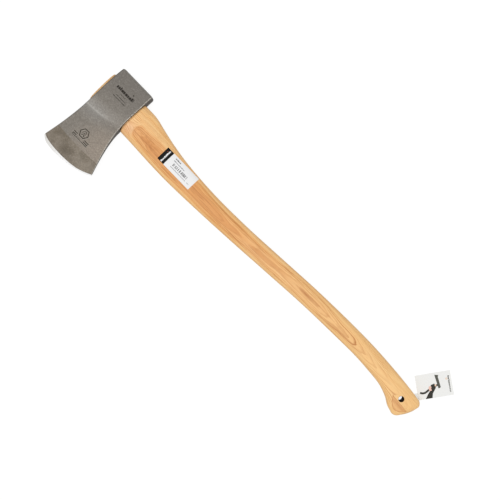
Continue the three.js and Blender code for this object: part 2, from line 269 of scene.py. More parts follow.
def sheet(columns, rows, spot, thickness):
    """Points and faces of a thick sheet that stands on spot(u, v), for shares u and v."""
    lower = []
    for i in range(columns + 1):
        lower += [spot(i / columns, j / rows) for j in range(rows + 1)]
    size = len(lower)
    points = lower + [point + Vector((0, 0, thickness)) for point in lower]
    width = rows + 1
    faces = []
    for i in range(columns):
        for a in range(i * width, i * width + rows):
            quad = (a, a + 1, a + width + 1, a + width)
            faces.append(quad)
            faces.append(tuple(corner + size for corner in reversed(quad)))
    rim = list(range(0, columns * width, width))
    rim += range(columns * width, columns * width + rows)
    rim += range(size - 1, rows, -width)
    rim += range(rows, 0, -1)
    for a, b in zip(rim, rim[1:] + rim[:1]):
        faces.append((a, b, b + size, a + size))
    return points, faces


def add_object(name, data):
    obj = bpy.data.objects.new(name, data)
    bpy.context.scene.collection.objects.link(obj)
    return obj


def make_mesh(name, shape, materials, sharp_degrees=USUAL_SHARP, face_material=None):
    """An object, in metres, from points and faces in millimetres."""
    points, faces = shape
    mesh = bpy.data.meshes.new(name)
    mesh.from_pydata([point * METRES for point in points], [], faces)
    for material in materials:
        mesh.materials.append(material)
    if face_material:
        mesh.polygons.foreach_set("material_index", face_material)
    obj = add_object(name, mesh)
    shade(obj, sharp_degrees)
    return obj


def shade(obj, sharp_degrees):
    limit = math.radians(sharp_degrees)
    work = bmesh.new()
    work.from_mesh(obj.data)
    bmesh.ops.recalc_face_normals(work, faces=work.faces)
    for face in work.faces:
        face.smooth = True
    for edge in work.edges:
        edge.smooth = len(edge.link_faces) != 2 or edge.calc_face_angle() < limit
    work.to_mesh(obj.data)
    work.free()


def cut(target, sharp_degrees, *cutters):
    """Takes the cutters out of target, removes them and shades what is left."""
    for cutter in cutters:
        modifier = target.modifiers.new("cut", "BOOLEAN")
        modifier.operation = "DIFFERENCE"
        modifier.solver = "EXACT"
        modifier.material_mode = "TRANSFER"
        modifier.object = cutter
    graph = bpy.context.evaluated_depsgraph_get()
    mesh = bpy.data.meshes.new_from_object(target.evaluated_get(graph))
    target.modifiers.clear()
    target.data = mesh
    for cutter in cutters:
        bpy.data.objects.remove(cutter)
    shade(target, sharp_degrees)


def place(obj, body, node=None):
    """Makes a piece ride on a body and, if named, stand for a CAD node."""
    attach(obj, body)
    if node:
        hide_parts(node)
    return obj


def height_finder(obj):
    """A function that gives the height of obj's skin, seen from above or from below, in mm."""
    mesh = obj.data
    points = [vertex.co / METRES for vertex in mesh.vertices]
    tree = BVHTree.FromPolygons(points, [tuple(face.vertices) for face in mesh.polygons])

    def height(x, y, from_above=True):
        start_z, way = (100, -1) if from_above else (-100, 1)
        hit = tree.ray_cast(Vector((x, y, start_z)), Vector((0, 0, way)))
        return hit[0].z

    return height


def rectangle(x0, x1, y0, y1):
    return [(x0, y0), (x1, y0), (x1, y1), (x0, y1)]


def strip(points, width):
    """Quads along a line of points in plan, of even width, with mitred corners."""
    line = [Vector(point) for point in points]
    ways = [(b - a).normalized() for a, b in zip(line, line[1:])]
    closed = (line[0] - line[-1]).length < 0.01
    befores = [ways[-1] if closed else ways[0], *ways]
    afters = [*ways, ways[0] if closed else ways[-1]]
    sides = []
    for point, before, after in zip(line, befores, afters):
        side = (before + after).normalized().orthogonal()
        reach = width / 2 / max(0.4, side.dot(after.orthogonal()))
        sides.append((point - side * reach, point + side * reach))
    return [[a, b, d, c] for (a, c), (b, d) in zip(sides, sides[1:])]


def ring_strip(centre, radius, width, steps):
    """Quads round a circle in plan."""
    inner, outer = radius - width / 2, radius + width / 2
    ends = circle(steps)
    quads = []
    for a, b in zip(ends, ends[1:] + ends[:1]):
        corners = ((a, inner), (b, inner), (b, outer), (a, outer))
        quads.append([(centre[0] + reach * c, centre[1] + reach * s) for (c, s), reach in corners])
    return quads


def greeked_line(x0, x1, y, height, seed, gaps=(0.13, 0.13, 0.13, 0.4)):
    """Blocks of uneven width along a line: the look of print, without letters."""
    source = random.Random(seed)
    blocks = []
    x = x0
    while x < x1:
        width = min(height * source.uniform(0.35, 0.8), x1 - x)
        tall = height * source.choice((0.7, 0.7, 1))
        blocks.append(rectangle(x, x + width, y, y + tall))
        x += width + height * source.choice(gaps)
    return blocks


def turned(quads, centre, degrees):
    """The quads turned about a point in plan."""
    turn = Matrix.Rotation(math.radians(degrees), 2)
    middle = Vector(centre)
    return [[turn @ (Vector(corner) - middle) + middle for corner in quad] for quad in quads]


def moved(quads, dx, dy):
    shift = Vector((dx, dy))
    return [[Vector(corner) + shift for corner in quad] for quad in quads]


def decal(name, quads, height, lift, material, step=2):
    """Thin marks that follow a surface: each quad in plan is split into cells and dropped on it."""
    points, faces = [], []
    for quad in quads:
        a, b, c, d = (Vector(corner) for corner in quad)
        columns = max(1, round(max((b - a).length, (c - d).length) / step))
        rows = max(1, round(max((d - a).length, (c - b).length) / step))
        first = len(points)
        for row in range(rows + 1):
            for column in range(columns + 1):
                u, v = column / columns, row / rows
                spot = lerp(lerp(a, b, u), lerp(d, c, u), v)
                points.append(Vector((spot.x, spot.y, height(spot.x, spot.y) + lift)))
        for row in range(rows):
            for column in range(columns):
                corner = first + row * (columns + 1) + column
                far = corner + columns + 1
                faces.append((corner, corner + 1, far + 1, far))
    return make_mesh(name, (points, faces), [material], DECAL_SHARP)


def place_decals(body, height, rows):
    """Makes and places marks, from rows of (name, quads, lift, ink)."""
    for name, quads, lift, ink in rows:
        place(decal(name, quads, height, lift, ink), body)


# ---- Material helpers ----


def srgb(code, share):
    """Linear colour whose lit surface looks like the hex code. share is albedo over look."""
    values = [int(code[i : i + 2], 16) / 255 for i in (0, 2, 4)]
    linear = [v / 12.92 if v <= 0.04045 else ((v + 0.055) / 1.055) ** 2.4 for v in values]
    return (*(value * share for value in linear), 1)


class Graph:
    """Builds one material. A socket or a constant can feed any input.

    share is how much of a colour's look is the surface's albedo.
    """

    def __init__(self, name, share=MATT_SHARE):
        self.share = share
        self.material = bpy.data.materials.new(name)
        self.material.use_nodes = True
        self.tree = self.material.node_tree
        self.tree.nodes.clear()
        coordinates = self.node("TexCoord").outputs["Object"]
        self.mm = self.scaled(coordinates, (1000, 1000, 1000))
        split = self.node("SeparateXYZ", {"Vector": self.mm})
        self.x, self.y, self.z = split.outputs

    def node(self, kind, inputs=None, **settings):
        made = self.tree.nodes.new("ShaderNode" + kind)
        for key, value in settings.items():
            setattr(made, key, value)
        for key, value in (inputs or {}).items():
            self.feed(made.inputs[key], value)
        return made

    def feed(self, socket, value):
        if isinstance(value, bpy.types.NodeSocket):
            self.tree.links.new(value, socket)
        else:
            socket.default_value = value

    def scaled(self, vector, factors):
        made = self.node("VectorMath", {0: vector, 1: factors}, operation="MULTIPLY")
        return made.outputs["Vector"]

    def math(self, operation, a, b=0):
        return self.node("Math", {0: a, 1: b}, operation=operation).outputs[0]

    def add(self, a, b):
        return self.math("ADD", a, b)

    def minus(self, a, b):
        return self.math("SUBTRACT", a, b)

    def times(self, a, b):
        return self.math("MULTIPLY", a, b)

    def largest(self, first, *others):
        for other in others:
            first = self.math("MAXIMUM", first, other)
        return first

    def centred(self, value, size):
        """Noise moved to swing by half of size to either side of 0."""
        return self.times(self.minus(value, 0.5), size)

    def fade(self, value, start, end, low=0, high=1):
        """Smooth change from low to high as value goes from start to end."""
        inputs = {"Value": value, 1: start, 2: end, 3: low, 4: high}
        return self.node("MapRange", inputs, interpolation_type="SMOOTHSTEP").outputs[0]

    def noise(self, factors, detail=3, roughness=0.55, distortion=0):
        """Noise from 0 to 1, whose grain along each axis is 1 / factor mm. One factor can do."""
        factors = factors if isinstance(factors, tuple) else (factors,) * 3
        inputs = {"Vector": self.scaled(self.mm, factors), "Scale": 1, "Detail": detail}
        inputs |= {"Roughness": roughness, "Distortion": distortion}
        return self.node("TexNoise", inputs).outputs[0]

    def curve(self, value, points):
        """A smooth curve through (value, result) points, level beyond its ends."""
        first, last = points[0][0], points[-1][0]
        results = [result for _, result in points]
        low, high = min(results), max(results)
        spots = [((x - first) / (last - first), (y - low) / (high - low)) for x, y in points]
        made = self.node("FloatCurve", {"Value": self.offset(value, first, last - first)})
        line = made.mapping.curves[0]
        line.points[0].location = spots[0]
        line.points[1].location = spots[-1]
        for spot in spots[1:-1]:
            line.points.new(*spot)
        made.mapping.update()
        return self.add(self.times(made.outputs[0], high - low), low)

    def mix(self, factor, a, b):
        """The colour that goes from a to b; each is a socket, a colour or a hex code."""
        made = self.node("Mix", data_type="RGBA", clamp_factor=True)
        for index, value in ((0, factor), (6, a), (7, b)):
            self.feed(made.inputs[index], self.colour(value))
        return made.outputs[2]

    def colour(self, value):
        return srgb(value, self.share) if isinstance(value, str) else value

    def layers(self, colour, rows):
        """The colour under rows of (share, colour on top)."""
        for share, top in rows:
            colour = self.mix(share, colour, top)
        return colour

    def bell(self, x0, y0, reach_x, reach_y, slope=0):
        """A smooth hump of height 1 over an ellipse in plan. slope tilts its length."""
        run = self.minus(self.x, x0)
        rise = self.minus(self.minus(self.y, y0), self.times(run, slope))
        squares = [self.squared(self.math("DIVIDE", run, reach_x))]
        squares += [self.squared(self.math("DIVIDE", rise, reach_y))]
        return self.falloff(self.add(*squares))

    def falloff(self, value):
        """1 where value is 0, and less as it grows."""
        return self.math("EXPONENT", self.times(value, -1))

    def squared(self, value):
        return self.times(value, value)

    def offset(self, value, zero, size):
        return self.math("DIVIDE", self.minus(value, zero), size)

    def bump(self, height, depth):
        """A normal from a height (0 to 1) that is depth millimetres deep."""
        inputs = {"Strength": 1, "Distance": depth * METRES, "Height": height}
        return self.node("Bump", inputs).outputs[0]

    def finish(self, colour, roughness, normal=None, **constants):
        shader = self.node("BsdfPrincipled", {"Base Color": colour, "Roughness": roughness})
        for key, value in constants.items():
            shader.inputs[key.replace("_", " ")].default_value = value
        if normal:
            self.feed(shader.inputs["Normal"], normal)
        self.node("OutputMaterial", {"Surface": shader.outputs[0]})
        return self.material


# ---- Materials ----

# Heartwood in the haft's upper side: (x, y of its middle), and (x, how deep it reaches), in mm.
HEART_MIDDLE = [
    (40, -11), (118, -15), (197, -12), (260, -14), (313, -9), (400, -4), (497, 3), (600, 1),
]
HEART_DEPTH = [
    (40, -6.2), (53, -5.2), (61, -0.8), (81, 0), (118, 1.9), (197, 2.8), (260, 2.2), (320, 0.7),
    (400, 1), (497, 2.3), (532, 0.9), (560, 0.2), (584, -0.2), (608, -1.5), (640, -3.2), (680, -5),
]
HEART_RADIUS = 30
HAFT_TOP_Z = 26
RING_WIDTH = 1.25

# The lens that the grip's swell cuts out of the rings: a line above it and an arc below it
LENS_TOP = {"x": 728, "y": -11.6, "slope": -0.09}
LENS_BOTTOM = {"x": 730, "y": -26.5, "reach": 18.6, "rise": 14}

# Soft spots of the wood: (x, y, reach in x, reach in y, slope)
FLECK = (475, 3, 13, 1.7)
STREAK = (567, -0.6, 27, 1, 0.078)
LENS_CORE = (729, -15.4, 17, 2.6, -0.09)
BROWN_BRUSH = (90, -11, 26, 9)
PINK_SPOT = (46, -18, 14, 13)


def ring_field(g, swell):
    """Distance from the tree's pith, in mm: a line over the haft that dips and rises along it."""
    drift = g.centred(g.noise((0.014, 0.06, 0.06)), 3)
    waver = g.centred(g.noise((0.03, 0.2, 0.2)), 2.4)
    follow = g.times(g.fade(g.x, 660, 735, 0, 15), g.fade(g.y, 2, -22))
    across = g.minus(g.add(g.add(g.y, waver), follow), g.curve(g.x, HEART_MIDDLE))
    pith_z = g.minus(HAFT_TOP_Z + HEART_RADIUS, g.curve(g.x, HEART_DEPTH))
    up = g.minus(pith_z, g.z)
    radius = g.math("SQRT", g.add(g.squared(across), g.squared(up)))
    return g.add(g.add(radius, drift), g.times(swell, -1.5))


def grip_lens(g):
    """How far inside the lens a point is, in mm."""
    run = g.minus(g.x, LENS_TOP["x"])
    top = g.add(g.times(run, LENS_TOP["slope"]), LENS_TOP["y"])
    arc = g.squared(g.offset(g.x, LENS_BOTTOM["x"], LENS_BOTTOM["reach"]))
    bottom = g.add(g.times(arc, LENS_BOTTOM["rise"]), LENS_BOTTOM["y"])
    wobble = g.centred(g.noise(0.1, 2), 3)
    below_top = g.minus(top, g.y)
    above_bottom = g.times(g.minus(g.y, bottom), 0.8)
    return g.add(g.math("MINIMUM", below_top, above_bottom), wobble)


def late_wood(g, radius):
    """The dark share of each ring: some rings are fainter, and all are fainter at the grip."""
    ring = g.math("DIVIDE", radius, RING_WIDTH)
    number = g.math("FLOOR", ring)
    tone = g.node("TexWhiteNoise", {"W": number}, noise_dimensions="1D").outputs[0]
    share = g.math("FRACT", ring)
    late = g.times(g.fade(share, 0.4, 0.88), g.fade(share, 0.92, 1, 1, 0))
    belly_side = g.times(g.fade(g.y, -2, -8), g.fade(g.x, 712, 728, 1, 0))
    seen = g.largest(g.fade(g.x, 660, 700, 1, 0.2), belly_side)
    return g.times(late, g.times(g.fade(tone, 0.2, 0.9, 0.3, 0.95), seen))


def wood_marks(g, lens, in_lens):
    """The fleck, the streak, and the dark core and edge of the lens."""
    core = g.times(g.bell(*LENS_CORE), 0.6)
    edge = g.falloff(g.squared(g.offset(lens, 0.6, 0.8)))
    spots = [g.bell(*FLECK), g.bell(*STREAK)]
    return g.largest(*spots, g.times(core, in_lens), g.times(edge, 0.7))


def hickory():
    """Ring-porous wood with a darker heart, rings, pores and fibres."""
    g = Graph("hickory")
    lens = grip_lens(g)
    in_lens = g.fade(lens, -0.5, 0.6)
    radius = ring_field(g, in_lens)
    core = g.fade(radius, HEART_RADIUS + 0.4, HEART_RADIUS - 0.5)
    between = g.fade(radius, HEART_RADIUS + 4.8, HEART_RADIUS + 3.4)
    calm = g.fade(g.x, 310, 480, 1, 0.3)
    brush = g.fade(g.noise((0.09, 0.35, 0.35), 4, 0.7), 0.4, 0.62)
    broad = g.fade(g.noise((0.012, 0.12, 0.12)), 0.3, 0.7)
    streaks = g.fade(g.noise((0.012, 0.45, 0.45)), 0.45, 0.75)
    strands = g.fade(g.noise((0.009, 0.36, 0.36), 4, 0.65), 0.53, 0.62)
    fibre = g.noise((0.05, 1.6, 1.6), 4, 0.65)
    pores = g.fade(g.noise((0.08, 2.2, 2.2), 1), 0.64, 0.76)

    strand_tone = g.add(g.times(between, 0.44), 0.08)
    strand_share = g.times(strand_tone, g.fade(g.x, 340, 480, 1, 0.6))
    pale = g.mix(g.fade(g.x, 340, 600), "ffd496", "ffd291")
    rows = [
        (g.times(broad, g.fade(g.x, 340, 500, 0.68, 0.5)), "fcc47f"),
        (g.times(g.bell(*PINK_SPOT), 0.6), "f4c29c"),
        (g.times(g.times(between, calm), 0.6), "eba45d"),
        (g.times(g.times(core, calm), 0.75), "e29c57"),
        (g.times(g.times(g.bell(*BROWN_BRUSH), brush), 0.75), "be7534"),
        (g.times(in_lens, 0.5), "e5a466"),
        (g.fade(g.x, -35.5, -39, 0, 0.3), "937f66"),
        (g.times(wood_marks(g, lens, in_lens), 0.75), "b96f33"),
        (late_wood(g, radius), "bf7837"),
        (g.times(strands, strand_share), "b46f31"),
        (g.times(streaks, g.fade(g.x, 310, 480, 0.28, 0.2)), "c98340"),
        (g.times(g.fade(fibre, 0.45, 0.75), g.times(calm, 0.2)), "c98744"),
        (g.times(pores, g.fade(g.x, 340, 500, 0.45, 0.25)), "a86a30"),
    ]
    roughness = g.fade(fibre, 0.3, 0.8, 0.36, 0.52)
    bump = g.bump(g.add(g.times(fibre, 0.6), g.times(pores, -0.5)), 0.05)
    gloss = {"Specular_IOR_Level": 0.3, "Coat_Weight": 0.1, "Coat_Roughness": 0.3}
    return g.finish(g.layers(pale, rows), roughness, bump, **gloss)


def shaded_bore_wood():
    """Unpolished end grain inside the hanging hole, a little darker than side grain and darkened
    further as painted shade.
    """
    g = Graph("shaded_bore_wood")
    fibre = g.noise((0.3, 1.2, 1.2), 4, 0.65)
    colour = g.mix(g.fade(fibre, 0.3, 0.7), "4a2d17", "2a180c")
    return g.finish(colour, 0.85, g.bump(fibre, 0.1), Specular_IOR_Level=0.1)


# Lines over the head: where the hardened band starts, and the bend between cheek and blade, along
# which a highlight is painted
BAND = {"x": 2, "y": -105.8, "bow": 0.0012}
BEND = {"y": -35.9, "slope": 0.205, "bow": 0.0033}

# Soft spots of the band: (x, y, reach in x, reach in y)
BAND_DARK = (-4, -126, 15, 9)
BAND_PALE = (30, -122, 14, 8)


def hardened_band(g):
    """How far a point is in the band (0 to 1), and the band's browner tone."""
    wander = g.centred(g.noise(0.12), 2.6)
    arc = g.times(g.squared(g.minus(g.x, BAND["x"])), BAND["bow"])
    inside = g.fade(g.add(g.minus(g.add(g.y, -BAND["y"]), arc), wander), 0.8, -0.8)
    blotch = g.noise(0.045)
    tone = g.mix(g.fade(blotch, 0.3, 0.7), "716759", "8a8073")
    dark, pale = g.times(g.bell(*BAND_DARK), 0.4), g.times(g.bell(*BAND_PALE), 0.08)
    tone = g.layers(tone, [(dark, "5a5145"), (pale, "989083")])
    return inside, tone


def painted_bend_highlight(g, broad_grain, grain):
    """A painted highlight: a wide glow along the bend between cheek and blade, and a broken bright
    line on it.
    """
    bend_line = g.add(g.times(g.add(g.times(g.x, BEND["bow"]), BEND["slope"]), g.x), BEND["y"])
    from_bend = g.minus(g.y, bend_line)
    near_bend = g.times(g.fade(from_bend, 26, 0), g.fade(from_bend, -30, 0))
    glow = g.times(near_bend, g.fade(g.x, 40, -30, 0.2, 0.7))
    strayed = g.add(from_bend, g.centred(broad_grain, 5))
    line = g.falloff(g.math("ABSOLUTE", g.offset(strayed, 0, 2)))
    line = g.times(line, g.fade(grain, 0.35, 0.6, 0.1, 0.5))
    return glow, g.times(line, g.fade(g.x, 30, -10, 0.1, 1))


def forged_steel():
    """Blasted steel: darker towards the poll as painted shade, with painted highlights along the
    bend and on the poll's edge, browner in the band.
    """
    g = Graph("forged_steel", STEEL_SHARE)
    broad_grain = g.noise(0.33, 3, 0.65)
    grain = g.noise(0.9, 4, 0.7)
    fine = g.noise(3.2, 2)
    cloud = g.noise(0.03)
    in_band, band_tone = hardened_band(g)
    glow, line = painted_bend_highlight(g, broad_grain, grain)

    warm = g.fade(g.add(g.x, g.centred(cloud, 60)), -40, 45)
    # Painted shade: the steel is darker towards the poll.
    base = g.mix(g.fade(g.y, 45, -45), "79746e", "857f77")
    rows = [
        (g.times(warm, g.fade(g.y, 0, -80)), "968b7f"),
        # painted highlight: the glow along the bend
        (glow, "a5a29d"),
        (in_band, band_tone),
        (g.times(g.fade(broad_grain, 0.45, 0.62), 0.28), "625d57"),
        (g.times(g.fade(broad_grain, 0.45, 0.32), 0.2), "b0aaa1"),
        (g.times(g.fade(grain, 0.35, 0.7), 0.28), "625d57"),
        (g.times(g.fade(grain, 0.5, 0.2), 0.3), "bab5ad"),
        # painted highlight: the broken bright line on the bend
        (line, "dcd9d2"),
        # Painted highlight: the poll's rounded edge is made lighter.
        (g.fade(g.y, POLL_Y - POLL_ROUND, POLL_Y - 1.4, 0, 0.6), "bdb8b0"),
    ]
    roughness = g.fade(grain, 0.3, 0.7, 0.4, 0.56)
    height = g.add(g.add(grain, g.times(fine, 0.3)), broad_grain)
    return g.finish(g.layers(base, rows), roughness, g.bump(height, 0.12), Metallic=0.9)


def painted_shade_wall_steel():
    """Painted shade: the head's side walls are made dark, in a flaky mottle."""
    g = Graph("painted_shade_wall_steel")
    flakes = g.noise(0.25, 4, 0.7)
    grain = g.noise(1.4)
    colour = g.mix(g.fade(flakes, 0.35, 0.65), "45403b", "676059")
    colour = g.mix(g.times(g.fade(grain, 0.5, 0.7), 0.4), colour, "7d7770")
    height = g.add(flakes, g.times(grain, 0.4))
    return g.finish(colour, g.fade(flakes, 0.3, 0.7, 0.5, 0.7), g.bump(height, 0.2), Metallic=0.6)


def ground_steel():
    """Ground bevel, really brighter than the cheeks, painted near white as a reflection and whiter
    towards the heel, with grinding lines across the cutting edge.
    """
    g = Graph("ground_steel", BRIGHT_SHARE)
    lines = g.noise((1.2, 0.08, 0.2))
    colour = g.mix(g.fade(g.x, -46, 10), "e2e0dc", "ffffff")
    colour = g.mix(g.fade(lines, 0.45, 0.75), colour, "d2cfca")
    return g.finish(colour, g.fade(lines, 0.3, 0.7, 0.25, 0.4), g.bump(lines, 0.02), Metallic=0.14)


def mottled(name, tones, grain, rough, depth, spread=None, share=MATT_SHARE, **constants):
    """Two close tones that follow one noise, as the roughness and the bump do."""
    g = Graph(name, share)
    noise = g.noise(*grain)
    factor = g.fade(noise, *spread) if spread else noise
    colour = g.mix(factor, *tones)
    return g.finish(colour, g.fade(noise, 0.3, 0.7, *rough), g.bump(noise, depth), **constants)


def printed(name, tones, rough=0.45, metallic=0):
    """Ink, or the film of the label."""
    gloss = {"Metallic": metallic, "Specular_IOR_Level": 0.12}
    return mottled(name, tones, (0.8,), (rough - 0.05, rough + 0.05), 0.01, **gloss)


WOOD = hickory()
BORE_SHADE_WOOD = shaded_bore_wood()
wedge_grain = ((0.12, 3, 3), 4)
WEDGE_WOOD = mottled(
    "wedge_wood", ("e2c294", "b98d56"), wedge_grain, (0.6, 0.8), 0.1, spread=(0.3, 0.7)
)
STEEL = forged_steel()
WALL_SHADE_STEEL = painted_shade_wall_steel()
# Painted highlight: bright steel for the rims on the head's underside.
rim_gleam = {"spread": (0.4, 0.62), "share": STEEL_SHARE, "Metallic": 0.9}
RIM_HIGHLIGHT_STEEL = mottled("painted_rim_highlight", ("cbc6bd", "8b857d"), (0.5, 4, 0.7), (0.35, 0.5), 0.1, **rim_gleam)
BEVEL_STEEL = ground_steel()
ring_tones = ("c4c5c6", "8f9092")
RING_STEEL = mottled("ring_steel", ring_tones, (1, 4), (0.3, 0.45), 0.03, Metallic=1)
STEEL_PRINT = printed("steel_print", ("2a2622", "38332d"), 0.6)
STAMP_DARK = printed("stamp_dark", ("37312b", "49433b"), 0.6, 0.3)
# Painted highlight: a light tone for the lit edge of the stamp.
STAMP_HIGHLIGHT = printed("stamp_painted_highlight", ("aca69c", "979188"), 0.5, 0.5)
LABEL_FILM = printed("label_film", ("f6f6f6", "efefef"), 0.4)
LABEL_BLACK = printed("label_black", ("0c0a0a", "141212"), 0.5)
LABEL_GREY = printed("label_grey", ("7d7f82", "8b8d90"), 0.45)
LABEL_RED = printed("label_red", ("74362a", "683024"), 0.45)
CARD = mottled("card", ("f8f8f6", "f3f3f0"), (1.4, 5, 0.7, 0.6), (0.54, 0.66), 0.015)
CARD_DARK = printed("card_dark", ("35342f", "43413b"), 0.5)
CARD_GREY = printed("card_grey", ("66665f", "55554e"), 0.5)
CARD_PRINT = printed("card_print", ("75746f", "676661"), 0.5)
CARD_SALMON = printed("card_salmon", ("f6cfc0", "efc2b0"), 0.5)
CARD_PEACH = printed("card_peach", ("f6d6ba", "f2cdb0"), 0.5)
TAPE_FILM = mottled("clear_film", ("f2f5f2", "e8eeea"), (0.4,), (0.15, 0.3), 0.05, Alpha=0.32)


# ---- Head ----

HEAD_MATERIALS = [STEEL, BEVEL_STEEL, WALL_SHADE_STEEL, RIM_HIGHLIGHT_STEEL]


def bow(points, share):
    """How far a curve leaves the straight line between its ends."""
    return smooth_curve(points, share) - lerp(Vector(points[0]), Vector(points[-1]), share)


def head_ring(top, under, thickness, rim, shift):
    """A closed ring round the head with rounded rims; shift(u) moves a face point in plan."""
    half = thickness / 2
    width = (under - top).length
    along = (under - top) / width
    wall = half - rim
    side = [(0, wall * (step + 0.5) / WALL_STEPS) for step in range(WALL_STEPS)]
    side += [(rim * inward, wall + rim * up) for inward, up in quarter_turn(RIM_STEPS)]
    upper = list(side)
    for column in range(1, HEAD_COLUMNS):
        upper.append((lerp(rim, width - rim, column / HEAD_COLUMNS), half))
    upper += [(width - inset, z) for inset, z in reversed(side)]
    ring = []
    for sign, row in ((1, upper), (-1, reversed(upper))):
        for inset, z in row:
            point = top + along * inset + shift(inset / width)
            ring.append(Vector((point.x, point.y, MID_Z + sign * z)))
    return ring


def poll_rings():
    """The poll's rounded edge, outwards from its flat face."""
    rings = []
    first_top, first_under = Vector(TOP_SIDE[0]), Vector(UNDERSIDE[0])
    for drop, out in quarter_turn(POLL_STEPS)[:-1]:
        inset = POLL_ROUND * (1 - out)
        y = POLL_Y - POLL_ROUND * drop
        top = Vector((first_top.x + inset, y, 0))
        under = Vector((first_under.x - inset, y, 0))
        thickness = HEAD_THICKNESS - 2 * inset
        rings.append(head_ring(top, under, thickness, RIM_ROUND, lambda u: Vector()))
    return rings


def cheek_rings():
    """From the poll over the cheeks and the blade to the bevel."""
    rings = []
    for step in range(HEAD_STEPS + 1):
        share = step / HEAD_STEPS
        top = smooth_curve(TOP_SIDE, share)
        under = smooth_curve(UNDERSIDE, share)
        thickness = min(top.z, HEAD_THICKNESS)
        ramp = max(0, (share - BOW_START) / (1 - BOW_START)) ** BOW_POWER
        top.z = under.z = 0
        rim = min(RIM_ROUND, thickness / 6)
        rings.append(head_ring(top, under, thickness, rim, lambda u: bow(BEVEL_SHOULDER, u) * ramp))
    return rings


def bevel_rings():
    rings = []
    for step in range(1, BEVEL_STEPS + 1):
        share = step / BEVEL_STEPS
        ends = [lerp(Vector(BEVEL_SHOULDER[i]), Vector(CUTTING_EDGE[i]), share) for i in (0, -1)]
        thickness = lerp(TOP_SIDE[-1][2], EDGE_THICKNESS, share)
        shift = lambda u: lerp(bow(BEVEL_SHOULDER, u), bow(CUTTING_EDGE, u), share)
        rings.append(head_ring(*ends, thickness, thickness / 6, shift))
    return rings


def head_skin(face, count, before_bevel):
    """A face's place in HEAD_MATERIALS."""
    if max(face) >= before_bevel * count:
        return 1
    if len({point // count for point in face}) == 1:
        return 0
    last = count // 2 - 1
    steps = [point % (count // 2) for point in face]
    # Side walls take the steel darkened as painted shade.
    if all(step <= WALL_STEPS or step >= last - WALL_STEPS for step in steps):
        return 2
    # The rim faces picked here take the steel with a painted highlight.
    return 3 if min(steps) >= last - WALL_STEPS - RIM_STEPS else 0


def make_head():
    rings = poll_rings() + cheek_rings()
    before_bevel = len(rings)
    points, faces = zipped_loft(rings + bevel_rings())
    skin = [head_skin(face, len(rings[0]), before_bevel) for face in faces]
    head = make_mesh("axe_head_fine", (points, faces), HEAD_MATERIALS, HEAD_SHARP, skin)
    eye = loft([eye_ring(EYE_TOP["x"], 0), eye_ring(EYE_UNDER["x"], 0)])
    flare = loft([eye_ring(x, inset) for x, inset in EYE_FLARE])
    cut(head, HEAD_SHARP, make_mesh("eye", eye, [STEEL]), make_mesh("flare", flare, [STEEL]))
    return place(head, "axe", "axe_head")


head_height = height_finder(make_head())

EMBLEM = {"x": -2, "y": -82, "radius": 9, "line": 1.7}
EMBLEM_RULES = (-93.6, -90.4)


def printed_band():
    """A row of blocks, a dot and three fine lines, where the cheek is printed."""
    quads = greeked_line(-20.2, 19.4, 17, 6.4, 4, gaps=(0.07, 0.13))
    quads += [rectangle(11.6, 13.8, 26.4, 28.6)]
    quads += greeked_line(-5.5, 6.5, 12.4, 1.4, 7)
    quads += greeked_line(-10.5, 11.5, 7, 1.6, 8)
    quads += greeked_line(-14.5, 14.5, 2.8, 1.6, 9)
    return quads


def stamped_emblem():
    """Chevrons in a hexagon between plain rules, over a row of blocks."""
    x, y, radius = EMBLEM["x"], EMBLEM["y"], EMBLEM["radius"]
    outline = [(x + radius * cosine, y + radius * sine) for cosine, sine in circle(6)]
    quads = strip(outline + outline[:1], EMBLEM["line"])
    for tier in range(3):
        base = y - 5.2 + 3.4 * tier
        quads += strip([(x - 3.8, base), (x, base + 3), (x + 3.8, base)], 1.2)
    for near, far in ((x - 8.4, -19), (x + 8.4, 17)):
        for rule in EMBLEM_RULES:
            quads += strip([(near, rule), (far, rule)], 1.8)
    return quads + greeked_line(-19, 17.4, -97.4, 2.4, 5)


stamp = stamped_emblem()
cheek_marks = [
    ("cheek_print", printed_band(), 0.04, STEEL_PRINT),
    ("cheek_stamp", stamp, 0.05, STAMP_DARK),
    # Painted highlight: a lighter copy of the stamp, moved a little, for the lit edge of its
    # recess.
    ("cheek_stamp_highlight", moved(stamp, 0.5, -0.5), 0.03, STAMP_HIGHLIGHT),
]
place_decals("axe", head_height, cheek_marks)

# ---- Haft ----


def haft_station(share):
    """Points on the haft's back and belly, and half its thickness there."""
    back = smooth_curve(HAFT_BACK, share)
    belly = smooth_curve(HAFT_BELLY, share)
    half_thickness = back.z / 2
    back.z = belly.z = 0
    return back, belly, half_thickness


def haft_ring(share):
    return oval_ring(*haft_station(share), HAFT_EXPONENT)


def tongue_rings():
    """From the tongue's rounded end, through the eye, to the shoulder outside it."""
    rings = []
    for run, out in quarter_turn(ROUND_STEPS):
        rings.append(eye_ring(TONGUE_X + TONGUE_ROUND * run, FIT + TONGUE_ROUND * (1 - out)))
    for step in range(1, TONGUE_STEPS + 1):
        x = lerp(TONGUE_X + TONGUE_ROUND, SHOULDER_X, step / TONGUE_STEPS)
        rings.append(eye_ring(x, FIT))
    last, swollen = rings[-1], haft_ring(0)
    for run, out in quarter_turn(SHOULDER_STEPS)[1:-1]:
        ring = []
        for a, b in zip(last, swollen):
            point = lerp(a, b, out)
            point.x = lerp(a.x, b.x, run)
            ring.append(point)
        rings.append(ring)
    return rings


